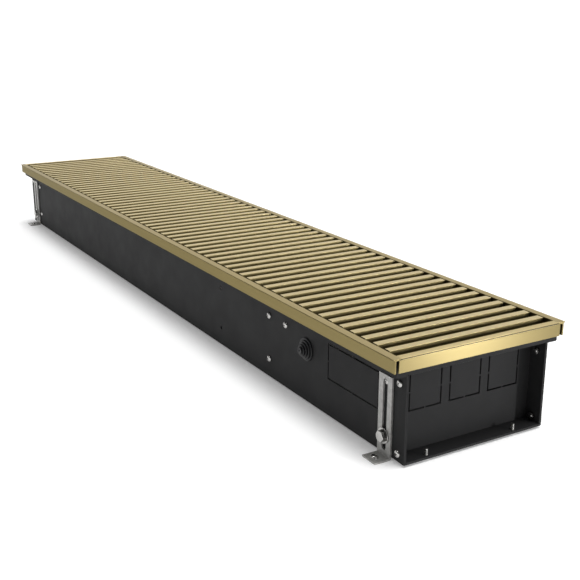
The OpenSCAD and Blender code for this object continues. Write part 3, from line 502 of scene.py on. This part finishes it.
def hex_bolt(af, head_h, shank_r, shank_l):
    """A bolt whose six corners are chamfered, head up, seated at height 0 on a washer face."""
    flat_r = af / 2
    face_r = 0.93 * flat_r
    top_slope, low_slope = 0.55, 0.22
    washer_face = 0.2 * MM

    def reach(angle, radius, height):
        """Carries the head's outer rings out to the hexagon and down or up to its chamfer."""
        if radius < flat_r:
            return radius, height
        corner = (angle + pi / 6) % (pi / 3) - pi / 6
        r = flat_r / cos(pi / 6 - abs(corner))
        return r, height - top_slope * (r - face_r) if height > 0 else low_slope * (r - face_r)

    profile = [(0, head_h), (0.5 * face_r, head_h), (face_r, head_h), (flat_r, head_h),
               (flat_r, 0), (face_r, washer_face), (face_r, 0)]
    shape = turned(profile + thread(shank_r, shank_l, 1.25 * MM), 48, reach)
    mesh = bpy.data.meshes.new("hex_bolt")
    shape.to_mesh(mesh)
    shape.free()
    return mesh


def loose_boxes(shape):
    """The lowest and highest corner of each loose part, in the order of the points."""
    boxes, seen = [], set()
    for first in shape.verts:
        if first in seen:
            continue
        part, waiting = [], [first]
        seen.add(first)
        while waiting:
            point = waiting.pop()
            part.append(point.co)
            for edge in point.link_edges:
                other = edge.other_vert(point)
                if other not in seen:
                    seen.add(other)
                    waiting.append(other)
        boxes.append((Vector([min(p[i] for p in part) for i in range(3)]),
                      Vector([max(p[i] for p in part) for i in range(3)])))
    return boxes


def outward_of(box, axis):
    """The way the head looks: away from the middle of the trough, or up or down."""
    if axis == "side":
        return Vector((0, 1 if box[0].y + box[1].y > 0 else -1, 0))
    return Vector((0, 0, 1 if axis == "up" else -1))


def set_fasteners(node, axis, head_h, shank_r, kind=pan_screw, flats=None):
    """Sets a detailed screw or bolt in the place of each loose part of the node.

    Each screw's recess is turned further than the last one's, and a bolt's flats aren't turned.
    """
    first_turn, next_turn = 0.3, 0.9
    source = cad_shape(node)
    boxes = loose_boxes(source)
    source.free()
    shape = bmesh.new()
    for count, box in enumerate(boxes):
        low, high = box
        outward = outward_of(box, axis)
        middle, size = (low + high) / 2, high - low
        along = abs(size.dot(outward))
        seat = middle + outward * (along / 2 - head_h)
        head = flats if flats else size.x / 2
        mesh = kind(head, head_h, shank_r, along - head_h)
        across = Vector((1, 0, 0))
        turn = Matrix((across, outward.cross(across), outward)).transposed()
        spin = Matrix.Rotation(0 if flats else next_turn * count + first_turn, 3, "Z")
        mesh.transform(Matrix.Translation(seat) @ (turn @ spin).to_4x4())
        shape.from_mesh(mesh)
        bpy.data.meshes.remove(mesh)
    return keep(shape, node, "detailed")


def grommet_rings(outer_r, step_r, step_h, steps):
    """The outside of the stepped rings, from the narrow front ring to the wide one at the wall."""
    bead = 0.42 * step_h
    groove = 0.25 * bead
    profile = []
    for i in reversed(range(steps)):
        edge_r, base = outer_r - i * step_r, i * step_h
        middle = base + step_h - bead
        for k in range(7):
            angle = pi / 2 - k * pi / 8
            profile.append((edge_r - bead + bead * cos(angle), middle + bead * sin(angle)))
        profile.append((edge_r - bead - groove, base))
    return profile


def grommet():
    """A stepped rubber grommet with rounded rings, and a neck and a flange behind the wall."""
    node = "cable_grommet"
    low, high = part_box(node)
    wall_y, neck_r, steps = 109 * MM, 11.5 * MM, 5
    outer_r = (high.x - low.x) / 2
    step_h, step_r = -(wall_y + low.y) / steps, outer_r / (steps + 1)
    front, back = step_h * steps, -(wall_y - abs(high.y))
    dimple = [(0, front - 2 * MM), (0.3 * step_r, front - 2 * MM),
              (0.45 * step_r, front - 0.4 * MM)]
    flange = [(neck_r, 0), (neck_r, back + SHEET), (outer_r - SHEET - 0.3 * MM, back + SHEET),
              (outer_r - SHEET, back + 0.7 * SHEET), (outer_r - SHEET, back + 0.2 * SHEET),
              (outer_r - 1.4 * SHEET, back), (0, back)]
    shape = turned(dimple + grommet_rings(outer_r, step_r, step_h, steps) + flange, 48)
    turn = Matrix(((1, 0, 0), (0, 0, 1), (0, -1, 0))).transposed()
    middle = (low + high) / 2
    shape.transform(Matrix.Translation((middle.x, -wall_y, middle.z)) @ turn.to_4x4())
    return keep(shape, node, "ringed")


def groove_shadow_strip(rail, side):
    """A black strip in an end rail's shadow groove, set back a little from the rail's front:
    painted shade, a dark piece that darkens the groove's shadow line.
    """
    depth, tall, set_back, below_top, play = 4.5 * MM, 0.82 * MM, 0.15 * MM, 1.14 * MM, 0.1 * MM
    low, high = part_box(rail)
    front = high.x if side > 0 else low.x
    between_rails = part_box("rear_frame_rail")[0].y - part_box("front_frame_rail")[1].y
    size = Vector((depth, between_rails - 2 * play, tall))
    middle = Vector((front - side * (set_back + depth / 2), 0, high.z - below_top - tall / 2))
    shape = bmesh.new()
    bmesh.ops.create_cube(shape, size=1)
    bmesh.ops.scale(shape, vec=size, verts=shape.verts)
    bmesh.ops.translate(shape, vec=middle, verts=shape.verts)
    shade_strip = as_object(shape, f"{rail}_groove_shadow_strip")
    shade_strip.data.materials.append(FINISHES["black_rubber"])
    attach(shade_strip, BODY_OF[rail])


# Stage, light and camera

def white_paper():
    """Paper that shows white and keeps its shadow, and lights the part no more than paper does."""
    paper = new_material("white_paper", (0.85, 0.85, 0.85), 0, 0.9, 0)
    ray = add(paper, "ShaderNodeLightPath").outputs
    shown = ray["Is Camera Ray"]
    for other in ("Is Glossy Ray", "Is Transmission Ray"):
        shown = combined(paper, "MAXIMUM", shown, ray[other])
    glow = 0.2
    inputs = shader_of(paper).inputs
    paper.node_tree.links.new(combined(paper, "MULTIPLY", shown, glow),
                              inputs["Emission Strength"])
    inputs["Emission Color"].default_value = (1, 1, 1, 1)
    return paper


def white_floor():
    """A pale floor whose rings grow with distance, so it reaches the horizon."""
    shape = bmesh.new()
    steps, rings = 32, []
    centre = shape.verts.new((0, 0, 0))
    radii_m = (1, 3, 10, 40, 150, 600)
    for radius in radii_m:
        rings.append([shape.verts.new((radius * cos(2 * pi * i / steps),
                                       radius * sin(2 * pi * i / steps), 0))
                      for i in range(steps)])
    for i in range(steps):
        j = (i + 1) % steps
        shape.faces.new((centre, rings[0][i], rings[0][j]))
        for inner, outer in zip(rings, rings[1:]):
            shape.faces.new((inner[i], outer[i], outer[j], inner[j]))
    floor = as_object(shape, "studio_floor")
    floor.data.materials.append(white_paper())


def ramp(world, source, start, end, first, last):
    """A level that eases from first to last while the source goes from start to end."""
    return add(world, "ShaderNodeMapRange", {"interpolation_type": "SMOOTHSTEP"}, {
        "Value": source, "From Min": start, "From Max": end,
        "To Min": first, "To Max": last}).outputs["Result"]


def pale_room():
    """A room that is brightest low behind the heater, and white at the horizon on every side."""
    world = bpy.data.worlds.new("studio")
    bpy.context.scene.world = world
    world.use_nodes = True
    background = world.node_tree.nodes["Background"]
    place = add(world, "ShaderNodeTexCoord").outputs["Generated"]
    way = add(world, "ShaderNodeSeparateXYZ", inputs={"Vector": place}).outputs
    behind = ramp(world, way["Y"], -0.3, 0.42, 0.06, 1.75)
    overhead = ramp(world, way["Z"], 0.2, 0.42, 1, 0.52)
    sky = combined(world, "MULTIPLY", behind, overhead)
    height = combined(world, "ABSOLUTE", way["Z"])
    room = add(world, "ShaderNodeMix", {"data_type": "FLOAT"}, {
        FACTOR: ramp(world, height, 0.03, 0.13, 1, 0), NUMBER_A: sky, NUMBER_B: 1.0})
    low_wall = ramp(world, height, 0.13, 0.22, 1, 0)
    level = combined(world, "MAXIMUM", room.outputs[NUMBER_OUT], low_wall)
    world.node_tree.links.new(level, background.inputs["Strength"])
    background.inputs["Color"].default_value = (1, 1, 1, 1)


def studio_lamps():
    """A soft key from above, a strip at the right that lights the near end, and a weak fill."""
    key = bpy.data.lights.new("soft_key", "SUN")
    key.energy = 2.15
    key.angle = radians(22)
    set_lamp(key, Vector((0.10, 0.03, 0.99)))

    strip = bpy.data.lights.new("strip", "AREA")
    strip.shape = "RECTANGLE"
    strip.size = 0.16
    strip.size_y = 0.6
    strip.energy = 35
    set_lamp(strip, Vector((2.75, 1.57, 0.42)))

    fill = bpy.data.lights.new("fill", "AREA")
    fill.size = 0.8
    fill.energy = 8
    set_lamp(fill, Vector((0.5, -1.4, 1.7)))


def set_lamp(data, place):
    """A lamp at this place that looks at the part and isn't seen itself."""
    lamp = bpy.data.objects.new(data.name, data)
    bpy.context.scene.collection.objects.link(lamp)
    lamp.location = place
    lamp.rotation_euler = place.to_track_quat("Z", "Y").to_euler()
    lamp.visible_camera = False


def photo_camera():
    """The camera at the photograph's place, as found from the frame's corners."""
    right = Vector((0.508294, 0.861182, 0.001648))
    up = Vector((-0.253307, 0.147679, 0.956047))
    back = Vector((0.823088, -0.486370, 0.293208))
    data = bpy.data.cameras.new("photo_camera")
    data.sensor_width = 36
    data.lens = 59.008
    camera = bpy.data.objects.new("photo_camera", data)
    bpy.context.scene.collection.objects.link(camera)
    turn = Matrix((right, up, back)).transposed().to_4x4()
    camera.matrix_world = Matrix.Translation((1.538660, -0.731555, 0.523935)) @ turn
    bpy.context.scene.camera = camera
    bpy.context.scene.view_settings.view_transform = "Standard"


# The part

dress_cad_nodes()

soften("trough_shell", sheet=SHEET)
for end in ("near", "far"):
    soften(f"{end}_end_plate", sheet=SHEET)
    soften(f"{end}_frame_rail", 0.35 * MM)
    soften(f"{end}_cradle", 0.2 * MM)
    for side in ("front", "rear"):
        soften(f"{end}_{side}_foot", 0.3 * MM, sheet=FOOT_STRIP)
        set_fasteners(f"{end}_{side}_plate_screw", "up", head_h=3 * MM, shank_r=2.2 * MM)
ROUNDED_MM = {
    "front_frame_rail": 0.35, "rear_frame_rail": 0.35, "grille_slats": 0.3, "foot_washers": 0.3,
    "foot_weld_nuts": 0.3, "end_plate_nuts": 0.3, "cradle_nuts": 0.3, "grille_rod_nuts": 0.3,
    "fan_end_plates": 0.2, "motor_feet": 0.2, "terminal_box": 0.5, "terminal_box_lid": 0.6,
    "terminal_block": 0.3, "grille_seat_strips": 0.3,
}
for node, edge in ROUNDED_MM.items():
    soften(node, edge * MM)

for node in ("end_plate_screws", "cradle_screws", "terminal_box_screw"):
    set_fasteners(node, "side", head_h=3 * MM, shank_r=2.5 * MM)
set_fasteners("foot_guide_screws", "side", head_h=2.5 * MM, shank_r=2.5 * MM)
set_fasteners("base_screws", "down", head_h=2.4 * MM, shank_r=2.5 * MM)
set_fasteners("foot_bolts", "side", head_h=5.3 * MM, shank_r=4 * MM,
              kind=hex_bolt, flats=13 * MM)
grommet()
# Painted shade: black strips that darken the shadow line in the end rails' grooves.
groove_shadow_strip("near_frame_rail", 1)
groove_shadow_strip("far_frame_rail", -1)

white_floor()
pale_room()
studio_lamps()
photo_camera()
